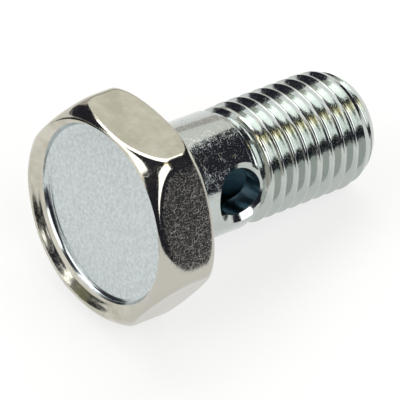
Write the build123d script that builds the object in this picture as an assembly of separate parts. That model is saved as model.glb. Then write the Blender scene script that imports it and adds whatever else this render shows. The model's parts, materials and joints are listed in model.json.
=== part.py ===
from build123d import *
import math
import os

# Banjo bolt, M10 x 1.25: one piece, cold forged with a dished hexagon head and then
# drilled. Millimetres. It is modelled along X, the middle of its bearing face at the
# origin, the head towards -X and the thread towards +X, one flat of the hexagon down.
# At the end it is tipped until it lies on that flat and on the rounded point of the thread.

# --- hexagon head
head_height = 5.5              # bearing face to the rim round the dish
across_flats = 17.0
corner_radius = 1.0            # the hexagon's six long edges, rounded by the die
hexagon_drop = 0.6             # the die sat off the blank's axis: this far down ...
hexagon_shift = 0.35           # ... and this far to +Y
blank_radius = 9.65            # the upset blank, which doesn't fill the die's furthest corners
front_land_radius = 8.2        # outside of the flat rim at the front
front_edge_width = 0.3         # rounded edge outside the rim ...
front_edge_turn = 40.0         # ... and the degrees its outline turns back by
front_round_width = 1.2        # from there out past the corners
front_corner_drop = 2.8        # how far back the front rounding reaches
bearing_radius = 8.15          # outside of the flat bearing face
back_slope_width = 0.7         # slope outside the bearing face ...
back_slope = 28.0              # ... and its degrees
back_round_width = 0.85        # from there out past the corners
back_corner_drop = 1.9         # how far forward the back rounding reaches

# --- dish in the front of the head
dish_radius = 7.65             # at the mouth
dish_depth = 0.85
dish_wall_radius = 7.35        # at the foot of the wall
dish_floor_fillet = 0.45

# --- plain shank that the banjo fitting turns on
shank_diameter = 9.9
shank_length = 6.75            # bearing face to the end of the plain shank
shank_end_chamfer = 0.12

# --- thread blank: relief, crests and point
relief_diameter = 9.4          # the rolled blank between shank and thread
relief_length = 1.1
thread_diameter = 9.9          # over the crests
thread_length = 12.0           # from the relief to the end of the bolt
thread_run_in = 0.5            # ramp from the relief up to the first full crest
point_diameter = 7.6           # flat end inside the rounded point
point_length = 2.6
point_bulge = 0.25             # how far the point's outline bows out from a straight cone

# --- oil ways
cross_hole_diameter = 4.0
cross_hole_chamfer = 0.55
cross_hole_to_shank_end = 1.25  # hole axis back from the end of the plain shank
cross_hole_turn = 74.0         # about the bolt, from straight up towards -Y
oil_way_diameter = 5.2
oil_way_past_cross_hole = 2.5  # full bore beyond the cross hole's axis, towards the head
drill_point_angle = 118.0
oil_way_mouth_chamfer = 0.6
cutter_clearance = 1.0         # how far a cutting shape stands out of the face it starts from

# --- dependent sizes
hex_corner = across_flats / math.sqrt(3)
shank_radius = shank_diameter / 2
relief_radius = relief_diameter / 2
thread_radius = thread_diameter / 2
point_radius = point_diameter / 2
oil_way_radius = oil_way_diameter / 2
thread_start = shank_length + relief_length
bolt_end = thread_start + thread_length
last_crest = bolt_end - point_length
cross_hole_at = shank_length - cross_hole_to_shank_end
oil_way_bottom = cross_hole_at - oil_way_past_cross_hole


def turned(*outline):
    """Solid of revolution about the bolt's axis, from lines and arcs in (along, radius)."""
    return revolve(make_face(outline), Axis.X, 360)


def slope_direction(angle, along=1):
    """Unit step outward along a turned outline that has left a flat face by this angle."""
    turn = math.radians(angle)
    return (along * math.sin(turn), math.cos(turn))


def head_blank():
    """Hexagon with rounded corners, one flat down, rounded off at both ends by its shoulders."""
    prism = extrude(Plane.YZ * RegularPolygon(hex_corner, 6), -head_height)
    prism = fillet(prism.edges().filter_by(Axis.X), corner_radius)
    front_rise = front_edge_width * math.tan(math.radians(front_edge_turn / 2))
    back_rise = back_slope_width * math.tan(math.radians(back_slope))
    front_edge = (-head_height, front_land_radius)
    front_shoulder = (-head_height + front_rise, front_land_radius + front_edge_width)
    front_corner = (-head_height + front_corner_drop, front_shoulder[1] + front_round_width)
    back_edge = (0, bearing_radius)
    back_shoulder = (-back_rise, bearing_radius + back_slope_width)
    back_corner = (-back_corner_drop, back_shoulder[1] + back_round_width)
    form = turned(
        Line((-head_height, 0), front_edge),
        TangentArc(front_edge, front_shoulder, tangent=slope_direction(0)),
        TangentArc(front_shoulder, front_corner, tangent=slope_direction(front_edge_turn)),
        Line(front_corner, back_corner),
        TangentArc(back_shoulder, back_corner, tangent=slope_direction(back_slope, -1)),
        Line(back_shoulder, back_edge),
        Line(back_edge, (0, 0)),
        Line((0, 0), (-head_height, 0)),
    )
    die = Pos(0, hexagon_shift, -hexagon_drop) * (prism & form)
    blank = Rot(0, 90, 0) * Cylinder(blank_radius, head_height * 3)
    return die & blank


def dish():
    """What the punch leaves sunk in the front of the head: a sloped wall and a soft floor edge."""
    floor = -head_height + dish_depth
    front = -head_height - cutter_clearance
    slope = (dish_radius - dish_wall_radius) / dish_depth
    outside = (front, dish_radius + slope * cutter_clearance)
    cut = turned(
        Line((front, 0), outside),
        Line(outside, (floor, dish_wall_radius)),
        Line((floor, dish_wall_radius), (floor, 0)),
        Line((floor, 0), (front, 0)),
    )
    floor_edge = cut.edges().filter_by(GeomType.CIRCLE).sort_by(Axis.X)[-1]
    return fillet(floor_edge, dish_floor_fillet)


def stem():
    """Everything behind the bearing face: plain shank, relief, thread blank and rounded point."""
    inside_head = -head_height / 2
    return turned(
        Polyline(
            (bolt_end, point_radius),
            (bolt_end, 0),
            (inside_head, 0),
            (inside_head, shank_radius),
            (shank_length - shank_end_chamfer, shank_radius),
            (shank_length, shank_radius - shank_end_chamfer),
            (shank_length, relief_radius),
            (thread_start, relief_radius),
            (thread_start + thread_run_in, thread_radius),
            (last_crest, thread_radius),
        ),
        point_arc(),
    )


def point_arc():
    """Outline of the point, from the last full crest to the flat end."""
    return SagittaArc((last_crest, thread_radius), (bolt_end, point_radius), point_bulge)


def cross_hole():
    """What drilling and chamfering the cross hole takes out of a plain bar of the shank's size."""
    along = cross_hole_diameter * 3
    bar = Rot(0, 90, 0) * Cylinder(shank_radius, along)
    drill = Rot(cross_hole_turn, 0, 0) * Cylinder(cross_hole_diameter / 2, shank_diameter * 2)
    drilled = bar - drill
    mouths = drilled.edges().filter_by(is_cross_hole_mouth)
    return Pos(cross_hole_at, 0, 0) * (bar - chamfer(mouths, cross_hole_chamfer))


def is_cross_hole_mouth(edge):
    """True for the edges where the cross hole comes out through the round of the bar."""
    middle = edge.position_at(0.5)
    curved = edge.geom_type not in (GeomType.CIRCLE, GeomType.LINE)
    return curved and math.hypot(middle.Y, middle.Z) > shank_radius * 0.7


def oil_way():
    """Blind way drilled up the bolt from the thread's end, with the drill's point at its bottom."""
    point = oil_way_radius / math.tan(math.radians(drill_point_angle / 2))
    mouth = oil_way_radius + oil_way_mouth_chamfer
    return turned(
        Polyline(
            (oil_way_bottom - point, 0),
            (oil_way_bottom, oil_way_radius),
            (bolt_end - oil_way_mouth_chamfer, oil_way_radius),
            (bolt_end, mouth),
            (bolt_end + cutter_clearance, mouth),
            (bolt_end + cutter_clearance, 0),
            close=True,
        )
    )


def banjo_bolt():
    """The whole bolt along X, before it is tipped."""
    return head_blank() - dish() + stem() - cross_hole() - oil_way()


def rest_tilt():
    """Tip that brings the rounded point down to the ground under the lower flat's back edge."""
    flat = across_flats / 2
    back_rise = max(0, flat - bearing_radius) * math.tan(math.radians(back_slope))
    ground = flat + hexagon_drop
    point = [point_arc().position_at(step / 60) for step in range(61)]
    return min(math.degrees(math.atan2(ground - spot.Y, spot.X + back_rise)) for spot in point)


bolt = Rot(0, rest_tilt(), 0) * banjo_bolt()
bolt.label = "banjo_bolt"
os.makedirs("parts", exist_ok=True)
export_step(bolt, "parts/banjo_bolt.step")
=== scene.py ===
import json
import math

import bpy
from mathutils import Euler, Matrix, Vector


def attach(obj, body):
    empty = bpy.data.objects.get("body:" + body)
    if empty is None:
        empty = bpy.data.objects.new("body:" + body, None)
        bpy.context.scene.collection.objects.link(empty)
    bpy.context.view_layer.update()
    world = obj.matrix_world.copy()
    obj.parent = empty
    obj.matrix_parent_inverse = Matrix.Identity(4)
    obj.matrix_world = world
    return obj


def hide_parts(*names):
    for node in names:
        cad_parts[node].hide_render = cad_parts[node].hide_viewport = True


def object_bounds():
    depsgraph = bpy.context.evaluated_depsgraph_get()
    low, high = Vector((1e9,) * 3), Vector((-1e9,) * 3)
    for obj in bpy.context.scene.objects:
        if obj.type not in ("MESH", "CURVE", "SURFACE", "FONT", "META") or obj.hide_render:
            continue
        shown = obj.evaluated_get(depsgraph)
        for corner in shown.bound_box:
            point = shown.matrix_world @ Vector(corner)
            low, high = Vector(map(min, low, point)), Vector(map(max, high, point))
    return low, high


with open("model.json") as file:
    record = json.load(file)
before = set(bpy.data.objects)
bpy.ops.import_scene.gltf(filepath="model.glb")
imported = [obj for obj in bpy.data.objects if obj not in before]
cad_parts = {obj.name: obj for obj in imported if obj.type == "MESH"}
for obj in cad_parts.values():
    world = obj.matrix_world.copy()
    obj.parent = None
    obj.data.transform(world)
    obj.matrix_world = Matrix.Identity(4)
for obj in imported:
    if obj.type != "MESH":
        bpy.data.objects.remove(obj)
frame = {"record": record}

# Banjo bolt, M10 x 1.25, lying on one flat of its head and the rounded point of its thread.
# Everything is modelled along X, with the middle of the bearing face at the origin, and
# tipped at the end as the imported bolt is.

bl_info = {
    "name": "Banjo Bolt",
    "version": (1, 0, 0),
    "blender": (4, 5, 0),
    "location": "View3D > Sidebar > Banjo Bolt",
    "description": "Builds a zinc plated banjo bolt round its packed model, and its studio",
    "category": "Add Mesh",
}

MM = 0.001
CAD_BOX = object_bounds()
NODE = "banjo_bolt"
MOUNTS = {mount["name"]: mount for mount in frame["record"]["mounts"]}
SEAT_AXIS = MOUNTS["seat"]["axis"]
REST_TIP = math.atan2(-SEAT_AXIS[2], SEAT_AXIS[0])
CROSS_HOLE_TURN = math.radians(74)  # about the bolt, from straight up towards -Y
DRILL_POINT_HALF_ANGLE = math.radians(59)
SHARP_EDGE = math.radians(32)  # edges that turn by more than this stay crisp


# --- sizes and colours, as the sidebar shows them


def size(name, description, millimetres):
    """A length for the sidebar, given in millimetres."""
    return bpy.props.FloatProperty(
        name=name, description=description, default=millimetres * MM,
        min=0.0, precision=5, unit="LENGTH",
    )


def hex_colour(text):
    """Linear red, green and blue of an sRGB hex colour."""
    parts = [int(text[i:i + 2], 16) / 255 for i in (1, 3, 5)]
    return [c / 12.92 if c <= 0.04045 else ((c + 0.055) / 1.055) ** 2.4 for c in parts]


def colour(name, description, text):
    """A colour for the sidebar, given as sRGB hex."""
    return bpy.props.FloatVectorProperty(
        name=name, description=description, default=hex_colour(text),
        min=0.0, max=1.0, size=3, subtype="COLOR",
    )


class BanjoBoltSizes(bpy.types.PropertyGroup):
    """Sizes as in the bolt's solid, three of them up to 0.015 mm inside it, and of finer forms."""

    head_height: size("Head height", "Bearing face to the rim round the dish", 5.485)
    across_flats: size("Across flats", "Hexagon's width for the spanner", 17.0)
    corner_radius: size("Corner radius", "Round on the hexagon's long edges", 1.0)
    drop: size("Hexagon drop", "How far down the die sat off the axis", 0.6)
    shift: size("Hexagon shift", "How far to the left the die sat off the axis", 0.35)
    blank_radius: size("Blank radius", "Upset blank that the die was closed on", 9.64)
    trim_radius: size("Corner trim", "Where both roundings end, outside the corners", 9.7)
    rim_radius: size("Rim radius", "Crest of the rim at the front", 8.2)
    rim_shoulder: size("Rim shoulder", "End of the rim's rounded edge", 8.5)
    lean: size("Front lean", "How far the front of the head sits off the die's centre", 0.15)
    front_drop: size("Front corner drop", "How far back the front rounding reaches", 2.8)
    seat_radius: size("Seat radius", "Outside of the flat bearing face", 8.15)
    seat_shoulder: size("Seat shoulder", "End of the slope outside the seat", 8.85)
    back_drop: size("Back corner drop", "How far forward the back rounding reaches", 1.9)
    dish_radius: size("Dish radius", "Mouth of the dish", 7.65)
    dish_floor_radius: size("Dish floor radius", "Foot of the dish's wall", 7.35)
    dish_depth: size("Dish depth", "Rim to the floor of the dish", 0.85)
    shank_length: size("Shank length", "Bearing face to the end of the plain shank", 6.75)
    shank_radius: size("Shank radius", "Plain shank", MOUNTS["shank"]["dims"]["r_mm"])
    relief_radius: size("Relief radius", "Rolled blank between shank and thread", 4.7)
    pitch: size("Thread pitch", "From one crest to the next", 1.25)
    root_radius: size("Thread root radius", "Bottom of the thread", 4.18)
    bolt_end: size("Bolt end", "Bearing face to the end of the thread", 19.845)
    last_crest: size("Last crest", "Bearing face to where the point begins", 17.25)
    point_radius: size("Point radius", "Flat end inside the rounded point", 3.8)
    cross_hole_at: size("Cross hole place", "Bearing face to the cross hole's axis", 5.5)
    cross_hole_radius: size("Cross hole radius", "Hole through the shank",
                            MOUNTS["cross_hole"]["dims"]["r_mm"])
    cross_hole_chamfer: size("Cross hole chamfer", "Width of the chamfered mouth", 0.55)
    oil_way_radius: size("Oil way radius", "Hole up the middle of the bolt",
                         MOUNTS["oil_way"]["dims"]["r_mm"])
    oil_way_bottom: size("Oil way bottom", "Bearing face to where the full bore ends", 3.0)


class BanjoBoltFinish(bpy.types.PropertyGroup):
    """The colours of the plating."""

    plating: colour("Plating", "Bright zinc on the turned shank and the rolled thread", "#BFC4C0")
    head_plating: colour("Head plating", "Bright zinc on the forged head", "#CBC8BC")
    dish_plating: colour("Dish plating", "Blue-white zinc on the punched dish", "#CAD3D4")
    bore_plating: colour("Bore plating", "Thin bluish zinc inside the drilled holes", "#9FB2BA")
    floor: colour("Floor", "Matt pale studio floor", "#F4F4F2")


# --- hand tools: small steps that the operators below repeat


def start_outline(name, x, radius, centre=(0.0, 0.0)):
    """Starts a new mesh with one vertex, a small plane merged to its middle, in edit mode."""
    bpy.ops.object.select_all(action="DESELECT")
    bpy.ops.mesh.primitive_plane_add(size=MM)
    piece = bpy.context.object
    piece.name = piece.data.name = name
    bpy.ops.object.mode_set(mode="EDIT")
    bpy.ops.mesh.select_all(action="SELECT")
    bpy.ops.mesh.merge(type="CENTER")
    bpy.ops.transform.translate(value=(x, centre[0], centre[1] + radius))
    return piece


def draw_outline(points):
    """Extrudes the vertex from point to point. A point is (x, radius) or (x, radius, steps)."""
    x, radius = points[0][:2]
    for point in points[1:]:
        steps = point[2] if len(point) > 2 else 1
        move = ((point[0] - x) / steps, 0.0, (point[1] - radius) / steps)
        for _ in range(steps):
            bpy.ops.mesh.extrude_region_move(TRANSFORM_OT_translate={"value": move})
        x, radius = point[:2]


def turn_outline(steps, centre=(0.0, 0.0)):
    """Spins the outline into a closed turned solid, its faces outwards."""
    bpy.ops.mesh.select_all(action="SELECT")
    bpy.ops.mesh.spin(steps=steps, angle=2 * math.pi, center=(0.0, *centre), axis=(1, 0, 0))
    tidy_faces()
    bpy.ops.object.mode_set(mode="OBJECT")


def tidy_faces():
    """Merges doubles and turns every face outwards, in edit mode."""
    bpy.ops.mesh.select_all(action="SELECT")
    bpy.ops.mesh.remove_doubles(threshold=0.002 * MM)
    bpy.ops.mesh.normals_make_consistent(inside=False)


def turned(name, points, steps, centre=(0.0, 0.0)):
    """A turned solid from its outline of (x, radius) points, which begins and ends on the axis."""
    piece = start_outline(name, points[0][0], points[0][1], centre)
    draw_outline(points)
    turn_outline(steps, centre)
    return piece


def rounded(before, corner, after, radius, steps):
    """Points of an arc that rounds the corner between two straight runs."""
    corner, before, after = Vector(corner), Vector(before), Vector(after)
    to_before, to_after = (before - corner).normalized(), (after - corner).normalized()
    half = to_before.angle(to_after) / 2
    reach = radius / math.tan(half)
    middle = corner + (to_before + to_after).normalized() * (radius / math.sin(half))
    start, end = corner + to_before * reach - middle, corner + to_after * reach - middle
    sweep = start.angle_signed(end)
    turns = [sweep * k / steps for k in range(steps + 1)]
    return [
        (middle.x + start.x * math.cos(t) + start.y * math.sin(t),
         middle.y - start.x * math.sin(t) + start.y * math.cos(t))
        for t in turns
    ]


def arc_through(start, end, bulge, steps):
    """Points of an arc between two points that bows out by the bulge, without its first point."""
    start, end = Vector(start), Vector(end)
    chord = end - start
    radius = chord.length_squared / (8 * bulge) + bulge / 2
    out = Vector((-chord.y, chord.x)).normalized()
    middle = (start + end) / 2 - out * (radius - bulge)
    half = math.asin(chord.length / 2 / radius)
    along = chord.normalized()
    turns = [half * (2 * k / steps - 1) for k in range(1, steps + 1)]
    return [tuple(middle + out * radius * math.cos(t) + along * radius * math.sin(t)) for t in turns]


def add_modifier(piece, kind, **settings):
    """Adds a modifier with its settings and applies it."""
    modifier = piece.modifiers.new(kind.title(), kind)
    for name, value in settings.items():
        setattr(modifier, name, value)
    bpy.ops.object.select_all(action="DESELECT")
    piece.select_set(True)
    bpy.context.view_layer.objects.active = piece
    bpy.ops.object.modifier_apply(modifier=modifier.name)


def combine(piece, other, operation):
    """Boolean of the piece with another, which is used up. Faces keep their own finish."""
    add_modifier(piece, "BOOLEAN", object=other, operation=operation, solver="EXACT",
                 material_mode="TRANSFER")
    bpy.data.objects.remove(other)
    close_seams(piece)
    if not piece.data.polygons:
        raise RuntimeError(f"{operation} left nothing of {piece.name}")


def close_seams(piece):
    """Merges the slivers that a Boolean leaves along its seam and closes the pinholes in it."""
    bpy.ops.object.mode_set(mode="EDIT")
    bpy.ops.mesh.select_all(action="SELECT")
    bpy.ops.mesh.remove_doubles(threshold=0.0015 * MM)
    bpy.ops.mesh.select_all(action="SELECT")
    bpy.ops.mesh.dissolve_degenerate(threshold=0.0015 * MM)
    bpy.ops.mesh.select_all(action="DESELECT")
    bpy.ops.mesh.select_mode(type="EDGE")
    bpy.ops.mesh.select_non_manifold(extend=False, use_wire=True, use_boundary=True,
                                     use_multi_face=False, use_non_contiguous=False, use_verts=False)
    bpy.ops.mesh.fill_holes(sides=12)
    bpy.ops.mesh.select_mode(type="VERT")
    bpy.ops.object.mode_set(mode="OBJECT")


def split_to_triangles(piece):
    """Splits the many-sided faces along the seams, which would overlap if an export split them."""
    bpy.ops.object.mode_set(mode="EDIT")
    bpy.ops.mesh.select_all(action="SELECT")
    bpy.ops.mesh.quads_convert_to_tris()
    bpy.ops.object.mode_set(mode="OBJECT")


# --- the bolt's forms


def forged_head(sizes):
    """The turned form of the head, pulled in to the die and the blank and softly rounded."""
    height, trim = sizes.head_height, sizes.trim_radius
    centre = (sizes.shift, -sizes.drop)
    rim, seat = (-height, sizes.rim_radius), (0.0, sizes.seat_radius)
    front_slope, back_slope = 40, 28  # degrees from the plane of the head's two ends
    softening = 40  # passes, which round the ends of the facets
    # the rim's rounded edge turns by the whole front slope, so its chord lies at half of it
    rim_rise = (sizes.rim_shoulder - rim[1]) * math.tan(math.radians(front_slope / 2))
    seat_rise = (sizes.seat_shoulder - seat[1]) * math.tan(math.radians(back_slope))
    front_shoulder = (rim_rise - height, sizes.rim_shoulder)
    back_shoulder = (-seat_rise, sizes.seat_shoulder)
    front_corner, back_corner = (sizes.front_drop - height, trim), (-sizes.back_drop, trim)
    slope = inner_slope(sizes)
    head = turned("forged_head", [
        (slope[0][0], 0.0),
        *slope,
        rim,
        *arc_through(rim, front_shoulder, bow(rim, front_shoulder, 0), 4),
        *arc_through(front_shoulder, front_corner, bow(front_shoulder, front_corner, front_slope), 30),
        (*back_corner, 10),
        *arc_through(back_corner, back_shoulder, bow(back_shoulder, back_corner, back_slope), 20),
        (*seat, 8),
        (0.0, sizes.shank_radius + 0.4 * MM, 4),
        (0.0, 0.0),
    ], 400, centre)
    lean_front(head, sizes)
    for die in (hexagon_die(sizes, centre), blank_bar(sizes)):
        add_modifier(head, "SHRINKWRAP", target=die, wrap_method="NEAREST_SURFACEPOINT",
                     wrap_mode="INSIDE")
        bpy.data.objects.remove(die)
    add_modifier(head, "SMOOTH", factor=0.5, iterations=softening)
    return head


def inner_slope(sizes):
    """Points of the rim's shallow inner slope, from the dish out to the crest, with a tool ring."""
    ring, inner_end, crest_width, step = 7.5 * MM, 6.95 * MM, 0.07 * MM, 0.05 * MM
    ring_turn, crest_turn, slope_turn = 2, 12, 22  # degrees from the plane of the front
    x, radius = -sizes.head_height, sizes.rim_radius
    points = []
    while radius > inner_end:
        radius -= step
        on_ring, on_crest = abs(radius - ring) < 0.02 * MM, radius > sizes.rim_radius - crest_width
        turn = ring_turn if on_ring else crest_turn if on_crest else slope_turn
        x += step * math.tan(math.radians(turn))
        points.append((x, radius))
    return points[::-1]


def lean_front(head, sizes):
    """Carries the front of the head off the die's centre, where the blank filled it unevenly."""
    front = -sizes.head_height + 0.6 * MM
    towards = (0.78, -0.63)  # direction along Y and Z, about one long
    bpy.ops.object.mode_set(mode="EDIT")
    bpy.ops.mesh.select_all(action="DESELECT")
    bpy.ops.object.mode_set(mode="OBJECT")
    for vertex in head.data.vertices:
        vertex.select = vertex.co.x < front
    bpy.ops.object.mode_set(mode="EDIT")
    bpy.ops.transform.translate(
        value=(0, sizes.lean * towards[0], sizes.lean * towards[1]), use_proportional_edit=True,
        proportional_edit_falloff="SMOOTH", proportional_size=2.0 * MM)
    bpy.ops.object.mode_set(mode="OBJECT")


def bow(start, end, slope):
    """How far an arc bows out that leaves a turned face's end at this slope, in degrees."""
    along, up = abs(end[0] - start[0]), abs(end[1] - start[1])
    turn = math.atan2(along, up) - math.radians(slope)
    return math.hypot(along, up) / 2 * math.tan(turn / 2)


def blank_bar(sizes):
    """The round of the upset blank on the bolt's own axis, which leaves the lower corners short."""
    long = 20 * MM
    radius = sizes.blank_radius
    return turned("blank_bar", [(-long, 0.0), (-long, radius), (long, radius), (long, 0.0)], 720)


def hexagon_die(sizes, centre):
    """The hexagon the head is pulled in to: a long six-sided bar, one flat down, edges rounded."""
    bpy.ops.object.select_all(action="DESELECT")
    bpy.ops.mesh.primitive_cylinder_add(
        vertices=6, radius=sizes.across_flats / math.sqrt(3), depth=40 * MM,
        location=(0.0, *centre), rotation=(0.0, math.pi / 2, 0.0),
    )
    die = bpy.context.object
    bpy.ops.object.transform_apply()
    bpy.ops.object.mode_set(mode="EDIT")
    bpy.ops.mesh.select_all(action="DESELECT")
    bpy.ops.object.mode_set(mode="OBJECT")
    vertices = die.data.vertices
    for edge in die.data.edges:
        a, b = (vertices[i].co for i in edge.vertices)
        edge.select = abs(a.x - b.x) > 30 * MM
    bpy.ops.object.mode_set(mode="EDIT")
    bpy.ops.mesh.select_mode(type="EDGE")
    bpy.ops.mesh.bevel(offset=sizes.corner_radius * math.tan(math.pi / 6), segments=16)
    bpy.ops.mesh.select_mode(type="VERT")
    bpy.ops.object.mode_set(mode="OBJECT")
    return die


def dish_punch(sizes):
    """The punch that sinks the dish: sloped wall, soft floor edge and a slightly worn mouth."""
    floor, mouth = -sizes.head_height + sizes.dish_depth, -sizes.head_height - 0.006 * MM
    lip_round, floor_round = 0.13 * MM, 0.45 * MM
    wall_foot = (floor, sizes.dish_floor_radius)
    wall_top = (mouth, sizes.dish_radius)
    outside = (mouth, sizes.dish_radius + 5 * MM)
    lip = rounded(outside, wall_top, wall_foot, lip_round, 6)
    foot = rounded(wall_top, wall_foot, (floor, 0.0), floor_round, 12)
    return turned("dish_punch", [
        (-sizes.head_height - 1 * MM, 0.0),
        (-sizes.head_height - 1 * MM, lip[0][1]),
        *lip,
        (*foot[0], 4),
        *foot[1:],
        (floor, 3 * MM, 8),
        (floor, 0.0),
    ], 360)


def plain_stem(sizes):
    """Plain shank, its small end chamfer, the relief and the core that fades in under the thread."""
    end, radius, relief = sizes.shank_length, sizes.shank_radius, sizes.relief_radius
    chamfer = rounded((0, radius), (end, radius), (end, relief), 0.12 * MM, 5)
    step = rounded((end, radius), (end, relief), (end + 1 * MM, relief), 0.08 * MM, 3)
    return turned("plain_stem", [
        (-2 * MM, 0.0),
        (-2 * MM, radius),
        (0.6 * MM, radius),
        *chamfer,
        *step,
        (end + 0.3 * MM, relief),
        (end + 0.7 * MM, relief - 0.08 * MM),
        (end + 1.2 * MM, relief - 0.28 * MM),
        (end + 1.8 * MM, sizes.root_radius - 0.03 * MM),
        (end + 4.0 * MM, sizes.root_radius - 0.3 * MM),
        (end + 8.0 * MM, sizes.root_radius - 0.3 * MM),
        (end + 8.0 * MM, 0.0),
    ], 288)


def thread_profile(sizes):
    """One pitch of the rolled thread as (x, radius): round root, 60 degree flanks, soft crest."""
    crest, root, half = sizes.shank_radius, sizes.root_radius, sizes.pitch / 2
    crest_half, crest_round = 0.085 * MM, 0.07 * MM
    slope = 1 / math.tan(math.pi / 6)
    apex = crest - (half - crest_half) * slope
    root_round = root - apex
    side = rounded((0.0, crest), (crest_half, crest), (half, apex), crest_round, 3)
    foot = rounded((crest_half, crest), (half, apex), (half * 2 - crest_half, crest), root_round, 8)
    right = [(0.0, crest), *side, *foot[:5]]
    flank = ((side[-1][0] + foot[0][0]) / 2, (side[-1][1] + foot[0][1]) / 2)
    right.insert(len(side) + 1, flank)
    left = [(-x, r) for x, r in reversed(right[1:])]
    return left + right


def rolled_thread(sizes):
    """The whole thread: one pitch wound on the bolt's axis, faced off square at both ends."""
    turns = 12
    # crest place on the upper side, where the outline is drawn
    first_crest = sizes.shank_length + 0.129 * MM - sizes.pitch
    outline = [(x + first_crest, r) for x, r in thread_profile(sizes)]
    thread = start_outline("rolled_thread", *outline[0])
    draw_outline(outline)
    bpy.ops.object.mode_set(mode="OBJECT")
    add_modifier(thread, "SCREW", axis="X", angle=2 * math.pi, screw_offset=sizes.pitch,
                 iterations=turns, steps=144, render_steps=144)
    bpy.ops.object.mode_set(mode="EDIT")
    tidy_faces()
    for place, outer in ((sizes.shank_length - 0.45 * MM, False), (sizes.bolt_end + 0.1 * MM, True)):
        bpy.ops.mesh.select_all(action="SELECT")
        bpy.ops.mesh.bisect(plane_co=(place, 0, 0), plane_no=(1, 0, 0), use_fill=True,
                            clear_inner=not outer, clear_outer=outer, threshold=0.0001 * MM)
    tidy_faces()
    bpy.ops.object.mode_set(mode="OBJECT")
    return thread


def thread_blank(sizes):
    """What bounds the thread: the ramp up from the relief and the rounded point."""
    start, crest, relief = sizes.shank_length, sizes.shank_radius, sizes.relief_radius
    point = arc_through((sizes.last_crest, crest), (sizes.bolt_end, sizes.point_radius), 0.25 * MM, 24)
    return turned("thread_blank", [
        (start - 0.3 * MM, 0.0),
        (start - 0.3 * MM, relief - 0.01 * MM),
        (start + 0.4 * MM, relief - 0.01 * MM, 3),
        (start + 0.6 * MM, relief + 0.02 * MM),
        (start + 1.4 * MM, crest - 0.03 * MM, 4),
        (start + 1.9 * MM, crest + 0.06 * MM),
        (sizes.last_crest - 0.6 * MM, crest + 0.06 * MM),
        (sizes.last_crest, crest),
        *point,
        (sizes.bolt_end, 0.0),
    ], 288)


def cross_hole_drill(sizes):
    """The drill for the cross hole, right through the shank."""
    bpy.ops.object.select_all(action="DESELECT")
    bpy.ops.mesh.primitive_cylinder_add(
        vertices=128, radius=sizes.cross_hole_radius, depth=4 * sizes.shank_radius,
        end_fill_type="TRIFAN",
    )
    drill = bpy.context.object
    drill.name = "cross_hole_drill"
    return drill


def mouth_cutter(sizes):
    """A countersink that follows the round of the shank, for one mouth of the cross hole."""
    radius, chamfer, hole = sizes.shank_radius, sizes.cross_hole_chamfer, sizes.cross_hole_radius
    long, extra = 6 * MM, 0.15 * MM
    bar = turned("chamfer_bar", [(-long, 0.0), (-long, radius), (long, radius), (long, 0.0)], 720)
    bpy.ops.object.select_all(action="DESELECT")
    bpy.ops.mesh.primitive_cone_add(
        vertices=160, radius1=hole - extra, radius2=hole + chamfer + extra, depth=2 * MM,
        location=(0, 0, radius + 3 * MM), end_fill_type="TRIFAN",
    )
    cutter = bpy.context.object
    cutter.name = "mouth_cutter"
    bpy.ops.object.transform_apply()
    middles = [v.index for v in cutter.data.vertices if math.hypot(v.co.x, v.co.y) < 0.1 * MM]
    middles.sort(key=lambda index: cutter.data.vertices[index].co.z)
    add_modifier(cutter, "SHRINKWRAP", target=bar, wrap_method="PROJECT", use_project_z=True,
                 use_negative_direction=True, use_positive_direction=False)
    bpy.data.objects.remove(bar)
    # the lower ring sinks below the surface by the chamfer's width and the upper one stands
    # clear of it; the middles of the two ends go well down the hole and well above the mouth
    for vertex in cutter.data.vertices:
        inside = math.hypot(vertex.co.x, vertex.co.y) < hole
        vertex.co.z += -(chamfer + extra) if inside else extra
    for index, height in zip(middles, (0.0, radius + 3 * MM)):
        cutter.data.vertices[index].co.z = height
    return cutter


def oil_way_drill(sizes):
    """The drill and countersink for the oil way, from the thread's end."""
    radius, bottom, end = sizes.oil_way_radius, sizes.oil_way_bottom, sizes.bolt_end
    tip = radius / math.tan(DRILL_POINT_HALF_ANGLE)
    chamfer = 0.6 * MM
    mouth = radius + chamfer
    return turned("oil_way_drill", [
        (bottom - tip, 0.0),
        (bottom, radius, 6),
        (end - chamfer, radius, 8),
        (end, mouth),
        (end + 1 * MM, mouth + 1 * MM),
        (end + 1 * MM, 0.0),
    ], 200)


# --- finishes


def add_node(tree, kind, settings=None, inputs=None):
    """Adds a node with its settings, its input values, and links from other nodes' outputs."""
    node = tree.nodes.new(kind)
    for name, value in (settings or {}).items():
        setattr(node, name, value)
    for name, value in (inputs or {}).items():
        if isinstance(value, bpy.types.NodeSocket):
            tree.links.new(value, node.inputs[name])
        else:
            node.inputs[name].default_value = value
    return node


MIX_A, MIX_B, MIX_RESULT = 6, 7, 2  # a Mix node's sockets for colours


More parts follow.
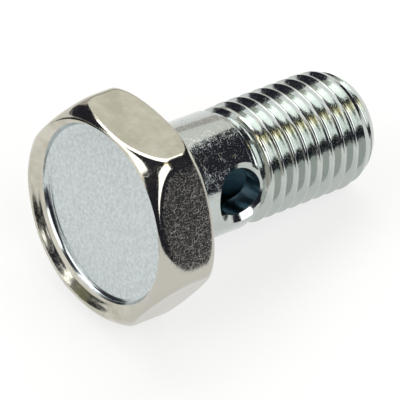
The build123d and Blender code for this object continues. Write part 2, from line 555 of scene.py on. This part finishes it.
def plated_steel(name, base, tint, drift_mm, roughness, scratch_mm, wear, painted_side_tint=None):
    """Zinc plated steel: bright, with a drifting tint, hair scratches in patches and dull specks, and
    where given a painted reflection tint on its -Y side.
    """
    material = bpy.data.materials.new(name)
    material.use_nodes = True
    tree = material.node_tree
    tree.nodes.clear()
    place = add_node(tree, "ShaderNodeTexCoord").outputs["Object"]
    # the passivation's colour wanders over patches of this size
    drift = add_node(tree, "ShaderNodeTexNoise", inputs={
        "Vector": place, "Scale": 1 / (drift_mm * MM), "Detail": 4.0, "Roughness": 0.65})
    drift_range = add_node(tree, "ShaderNodeMapRange", inputs={
        "Value": drift.outputs["Fac"], "From Min": 0.38, "From Max": 0.62})
    shade = add_node(tree, "ShaderNodeMix", {"data_type": "RGBA"}, {
        "Factor": drift_range.outputs["Result"], MIX_A: (*base, 1.0), MIX_B: (*tint, 1.0)})
    surface_colour = shade.outputs[MIX_RESULT]
    if painted_side_tint:
        # towards -Y the drift gives way to one even grey, a painted reflection tint for the flats that
        # mirror the dark studio on that side
        side = add_node(tree, "ShaderNodeSeparateXYZ", inputs={"Vector": place}).outputs["Y"]
        painted_side_mask = add_node(tree, "ShaderNodeMapRange", inputs={
            "Value": side, "From Min": -4.0 * MM, "From Max": -6.5 * MM})
        painted_side_mix = add_node(tree, "ShaderNodeMix", {"data_type": "RGBA"}, {
            "Factor": painted_side_mask.outputs["Result"], MIX_A: surface_colour, MIX_B: (*painted_side_tint, 1.0)})
        surface_colour = painted_side_mix.outputs[MIX_RESULT]
    # hair scratches run along bent cell edges and show only in patches
    warp = add_node(tree, "ShaderNodeTexNoise", inputs={
        "Vector": place, "Scale": 1 / (1.4 * MM), "Detail": 2.0})
    bent = add_node(tree, "ShaderNodeVectorMath", {"operation": "MULTIPLY_ADD"}, {
        0: warp.outputs["Color"], 1: (1.6 * MM,) * 3, 2: place})
    cells = add_node(tree, "ShaderNodeTexVoronoi", {"feature": "DISTANCE_TO_EDGE"}, {
        "Vector": bent.outputs["Vector"], "Scale": 1 / (scratch_mm * MM)})
    hairs = add_node(tree, "ShaderNodeMapRange", inputs={
        "Value": cells.outputs["Distance"], "From Min": 0.0, "From Max": 0.05,
        "To Min": 1.0, "To Max": 0.0})
    patches = add_node(tree, "ShaderNodeTexNoise", inputs={
        "Vector": place, "Scale": 1 / (0.5 * MM), "Detail": 2.0})
    patch_range = add_node(tree, "ShaderNodeMapRange", inputs={
        "Value": patches.outputs["Fac"], "From Min": 0.47, "From Max": 0.58,
        "To Min": 0.0, "To Max": wear})
    scratches = add_node(tree, "ShaderNodeMath", {"operation": "MULTIPLY"}, {
        0: hairs.outputs["Result"], 1: patch_range.outputs["Result"]})
    # specks where the plating is dull, about the size of a grain of dust
    dust = add_node(tree, "ShaderNodeTexNoise", inputs={
        "Vector": place, "Scale": 1 / (0.1 * MM), "Detail": 1.0, "Roughness": 0.5})
    specks = add_node(tree, "ShaderNodeMapRange", inputs={
        "Value": dust.outputs["Fac"], "From Min": 0.59, "From Max": 0.73,
        "To Min": 0.0, "To Max": wear})
    marks = add_node(tree, "ShaderNodeMath", {"operation": "MAXIMUM"}, {
        0: scratches.outputs["Value"], 1: specks.outputs["Result"]})
    rough = add_node(tree, "ShaderNodeMapRange", inputs={
        "Value": marks.outputs["Value"], "To Min": roughness, "To Max": roughness + 0.42})
    relief = add_node(tree, "ShaderNodeBump", inputs={
        "Height": marks.outputs["Value"], "Distance": 0.006 * MM, "Strength": 1.0})
    shader = add_node(tree, "ShaderNodeBsdfPrincipled", inputs={
        "Base Color": surface_colour, "Metallic": 1.0,
        "Roughness": rough.outputs["Result"], "Normal": relief.outputs["Normal"]})
    add_node(tree, "ShaderNodeOutputMaterial", inputs={"Surface": shader.outputs["BSDF"]})
    return material


GLOW_SHARE = 0.72  # of what is seen of the floor; the rest carries the bolt's shadow


def matt_floor(base):
    """Lit white laminate: matt, so that the bolt keeps a soft shadow, with a white glow of its own."""
    material = bpy.data.materials.new("lit_white_laminate")
    material.use_nodes = True
    tree = material.node_tree
    tree.nodes.clear()
    laminate = add_node(tree, "ShaderNodeBsdfPrincipled", inputs={
        "Base Color": (*base, 1.0), "Roughness": 0.9, "Specular IOR Level": 0.0})
    glow = add_node(tree, "ShaderNodeEmission", inputs={"Color": (1.0, 1.0, 1.0, 1.0), "Strength": 1.0})
    # the eye, and metal that mirrors the floor, see the glow; nothing matt is lit by it
    path = add_node(tree, "ShaderNodeLightPath")
    mirrored = add_node(tree, "ShaderNodeMath", {"operation": "MAXIMUM"}, {
        0: path.outputs["Is Glossy Ray"], 1: path.outputs["Is Transmission Ray"]})
    seen = add_node(tree, "ShaderNodeMath", {"operation": "MAXIMUM"}, {
        0: path.outputs["Is Camera Ray"], 1: mirrored.outputs["Value"]})
    share = add_node(tree, "ShaderNodeMath", {"operation": "MULTIPLY"}, {
        0: seen.outputs["Value"], 1: GLOW_SHARE})
    mix = add_node(tree, "ShaderNodeMixShader", inputs={
        0: share.outputs["Value"], 1: laminate.outputs["BSDF"], 2: glow.outputs["Emission"]})
    add_node(tree, "ShaderNodeOutputMaterial", inputs={"Surface": mix.outputs["Shader"]})
    return material


def black_card():
    """Black velvet: takes nearly all light, so that the rim shows dark bands between the lamps."""
    material = bpy.data.materials.new("black_velvet_card")
    material.use_nodes = True
    shader = material.node_tree.nodes["Principled BSDF"]
    shader.inputs["Base Color"].default_value = (*hex_colour("#1C1E1E"), 1.0)
    shader.inputs["Roughness"].default_value = 1.0
    shader.inputs["Specular IOR Level"].default_value = 0.0
    return material


def give(piece, material):
    """Gives the whole piece one material."""
    piece.data.materials.clear()
    piece.data.materials.append(material)
    return piece


# --- operators


class BanjoBoltBuild(bpy.types.Operator):
    """Build the bolt: forged head, dish, shank, rolled thread and oil ways"""

    bl_idname = "banjo_bolt.build"
    bl_label = "Build Bolt"

    def execute(self, context):
        sizes, finish = context.scene.banjo_bolt_sizes, context.scene.banjo_bolt_finish
        # a mirror in broad soft patches of two warm greys, and one even grey on its -Y side, which is a
        # painted reflection tint
        forged = plated_steel(
            "zinc_on_forged_steel", finish.head_plating, hex_colour("#B7B4A6"), drift_mm=2.6,
            roughness=0.09, scratch_mm=0.55, wear=0.24, painted_side_tint=hex_colour("#BDBAB1"))
        # satin, blue-white and finely mottled, where the punch pressed the dish
        dished = plated_steel(
            "zinc_on_punched_steel", finish.dish_plating, hex_colour("#B9BFBF"), drift_mm=0.3,
            roughness=0.16, scratch_mm=0.5, wear=0.2)
        # a mirror under dense fine marks, which show as pale specks in its dark reflections
        turned_down = plated_steel(
            "zinc_on_turned_steel", finish.plating, hex_colour("#BCC4C2"), drift_mm=2.6,
            roughness=0.1, scratch_mm=0.3, wear=0.5)
        # a cooler mirror with fewer marks than the shank; the cross hole's chamfers have it too
        rolled = plated_steel(
            "zinc_on_rolled_steel", finish.plating, hex_colour("#B9C0BC"), drift_mm=2.6,
            roughness=0.09, scratch_mm=0.4, wear=0.28)
        # dull and bluish, as thin plating is inside a drilled hole
        drilled = plated_steel(
            "zinc_on_drilled_steel", finish.bore_plating, hex_colour("#93A5AD"), drift_mm=2.6,
            roughness=0.2, scratch_mm=0.4, wear=0.05)
        head = give(forged_head(sizes), forged)
        combine(head, give(dish_punch(sizes), dished), "DIFFERENCE")
        thread = give(rolled_thread(sizes), rolled)
        combine(thread, give(thread_blank(sizes), rolled), "INTERSECT")
        stem = give(plain_stem(sizes), turned_down)
        combine(stem, thread, "UNION")
        drill = give(cross_hole_drill(sizes), drilled)
        self.set_across(drill, sizes, 0.0)
        combine(stem, drill, "DIFFERENCE")
        for turn in (0.0, math.pi):
            cutter = give(mouth_cutter(sizes), rolled)
            self.set_across(cutter, sizes, turn)
            combine(stem, cutter, "DIFFERENCE")
        combine(stem, give(oil_way_drill(sizes), drilled), "DIFFERENCE")
        combine(head, stem, "UNION")
        split_to_triangles(head)
        self.finish_bolt(head)
        return {"FINISHED"}

    def set_across(self, tool, sizes, turn):
        """Turns a tool made along Z into the line of the cross hole and applies its place."""
        tool.rotation_euler = (CROSS_HOLE_TURN + turn, 0, 0)
        tool.location = (sizes.cross_hole_at, 0, 0)
        bpy.ops.object.select_all(action="DESELECT")
        tool.select_set(True)
        bpy.context.view_layer.objects.active = tool
        bpy.ops.object.transform_apply()

    def finish_bolt(self, bolt):
        """Tips the bolt to its rest, smooths its shading and sets it in the frame."""
        bolt.name = bolt.data.name = "banjo_bolt_finished"
        bolt.rotation_euler = (0, REST_TIP, 0)
        bpy.ops.object.select_all(action="DESELECT")
        bolt.select_set(True)
        bpy.context.view_layer.objects.active = bolt
        bpy.ops.object.transform_apply()
        bpy.ops.object.shade_smooth_by_angle(angle=SHARP_EDGE)
        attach(bolt, "root")
        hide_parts(NODE)


# name, azimuth from +X towards +Y, elevation, width and height in degrees, radiance, colour
LAMPS = [
    ("front_softbox", -77, 46, 48, 46, 2.5, "#FFFFFF"),
    ("warm_reflector", -38, 58, 18, 20, 1.5, "#FFE9A8"),
    ("back_softbox", 62, 60, 66, 28, 3.0, "#FFFFFF"),
    ("left_softbox", 160, 30, 44, 32, 1.15, "#FFFFFF"),
    ("olive_card", 146, 6, 8, 14, 0.3, "#E2E2B0"),
    ("edge_strip", 154.5, 6, 4, 14, 2.2, "#FFFFFF"),
    ("far_edge_strip", 170.5, 5, 3, 12, 2.2, "#FFFFFF"),
    ("left_top_softbox", 155, 56, 44, 22, 2.5, "#FFFFFF"),
    ("back_card", 57, 36, 56, 44, 0.94, "#FFFEF5"),
    ("low_card", 58, 7, 60, 14, 0.55, "#FFF6EC"),
]

# name, azimuth from the head in degrees, width in degrees
CARDS = [
    ("near_black_card", 136, 26),
    ("far_black_card", 171, 26),
]


class BanjoBoltStudio(bpy.types.Operator):
    """Set the pale floor, the soft studio lamps, the dim room and the camera"""

    bl_idname = "banjo_bolt.studio"
    bl_label = "Set Studio"

    def execute(self, context):
        finish = context.scene.banjo_bolt_finish
        bpy.ops.object.select_all(action="DESELECT")
        bpy.ops.mesh.primitive_plane_add(size=6.0, location=(0, 0, CAD_BOX[0].z))
        floor = bpy.context.object
        floor.name = "studio_floor"
        bpy.ops.object.transform_apply()
        give(floor, matt_floor(finish.floor))
        for lamp in LAMPS:
            self.hang_lamp(*lamp)
        for card in CARDS:
            self.lay_card(*card)
        world = bpy.data.worlds.new("dim_room")
        world.use_nodes = True
        darkness = (0.025, 0.025, 0.036, 1.0)
        world.node_tree.nodes["Background"].inputs["Color"].default_value = darkness
        context.scene.world = world
        self.set_camera(context)
        context.scene.view_settings.view_transform = "Standard"
        return {"FINISHED"}

    def hang_lamp(self, name, azimuth, elevation, width, height, radiance, text):
        """Hangs a rectangular lamp 1 m away that looks at the bolt and has that size seen from it."""
        a, e = math.radians(azimuth), math.radians(elevation)
        place = Vector((math.cos(a) * math.cos(e), math.sin(a) * math.cos(e), math.sin(e)))
        aim = (-place).to_track_quat("-Z", "Y").to_euler()
        bpy.ops.object.light_add(type="AREA", location=place, rotation=aim)
        lamp = bpy.context.object
        lamp.name = lamp.data.name = name
        lamp.data.shape = "RECTANGLE"
        lamp.data.size = 2 * math.tan(math.radians(width) / 2)
        lamp.data.size_y = 2 * math.tan(math.radians(height) / 2)
        lamp.data.energy = math.pi * lamp.data.size * lamp.data.size_y * radiance
        lamp.data.color = hex_colour(text)

    def lay_card(self, name, azimuth, width):
        """Lays a black card just over the floor, out of the picture on the head's side."""
        near, far, lift, head_x = 34.0 * MM, 400.0 * MM, 0.2 * MM, -5.5 * MM
        middle, a = (near + far) / 2, math.radians(azimuth)
        place = (head_x + middle * math.cos(a), middle * math.sin(a), CAD_BOX[0].z + lift)
        bpy.ops.mesh.primitive_plane_add(size=1.0, location=place, rotation=(0.0, 0.0, a))
        card = bpy.context.object
        card.name = name
        card.scale = (far - near, 2 * far * math.tan(math.radians(width) / 2), 1.0)
        bpy.ops.object.transform_apply()
        # the plane is narrowed to a wedge, so that it fills the same angle near and far
        for vertex in card.data.vertices:
            along = vertex.co.x * math.cos(a) + vertex.co.y * math.sin(a)
            if along < middle + head_x * math.cos(a):
                across = Vector((-math.sin(a), math.cos(a), 0.0))
                side = (vertex.co - Vector((head_x, 0.0, 0.0))).dot(across)
                vertex.co -= across * side * (1 - near / far)
        give(card, black_card())
        # only reflections show the card
        card.visible_camera = card.visible_shadow = card.visible_diffuse = False

    def set_camera(self, context):
        """Looks at the head's front and the cross hole from above, with a long lens."""
        # the place and the turn are those seen from the bolt before it is tipped
        tip = Euler((0.0, REST_TIP, 0.0))
        place = Vector((-0.320709, -0.320104, 0.363009))
        turn = Euler([math.radians(d) for d in (50.7607, -9.0132, -38.24569)])
        place.rotate(tip)
        turn.rotate(tip)
        bpy.ops.object.camera_add(location=place, rotation=turn)
        camera = bpy.context.object
        camera.name = camera.data.name = "studio_camera"
        camera.data.sensor_width = 36.0
        camera.data.lens = 660.13
        camera.data.clip_start = 0.05
        camera.data.clip_end = 20.0
        context.scene.camera = camera


class BanjoBoltPanel(bpy.types.Panel):
    """The bolt's sizes, finishes and steps"""

    bl_idname = "VIEW3D_PT_banjo_bolt"
    bl_label = "Banjo Bolt"
    bl_space_type = "VIEW_3D"
    bl_region_type = "UI"
    bl_category = "Banjo Bolt"

    def draw(self, context):
        for group in (context.scene.banjo_bolt_sizes, context.scene.banjo_bolt_finish):
            box = self.layout.box()
            for name in group.__annotations__:
                box.prop(group, name)
        self.layout.operator(BanjoBoltBuild.bl_idname)
        self.layout.operator(BanjoBoltStudio.bl_idname)


CLASSES = (BanjoBoltSizes, BanjoBoltFinish, BanjoBoltBuild, BanjoBoltStudio, BanjoBoltPanel)


def register():
    for made in CLASSES:
        bpy.utils.register_class(made)
    bpy.types.Scene.banjo_bolt_sizes = bpy.props.PointerProperty(type=BanjoBoltSizes)
    bpy.types.Scene.banjo_bolt_finish = bpy.props.PointerProperty(type=BanjoBoltFinish)


def unregister():
    del bpy.types.Scene.banjo_bolt_finish
    del bpy.types.Scene.banjo_bolt_sizes
    for made in reversed(CLASSES):
        bpy.utils.unregister_class(made)


def main():
    """Builds everything in order."""
    register()
    bpy.ops.banjo_bolt.build()
    bpy.ops.banjo_bolt.studio()


if __name__ == "__main__":
    main()
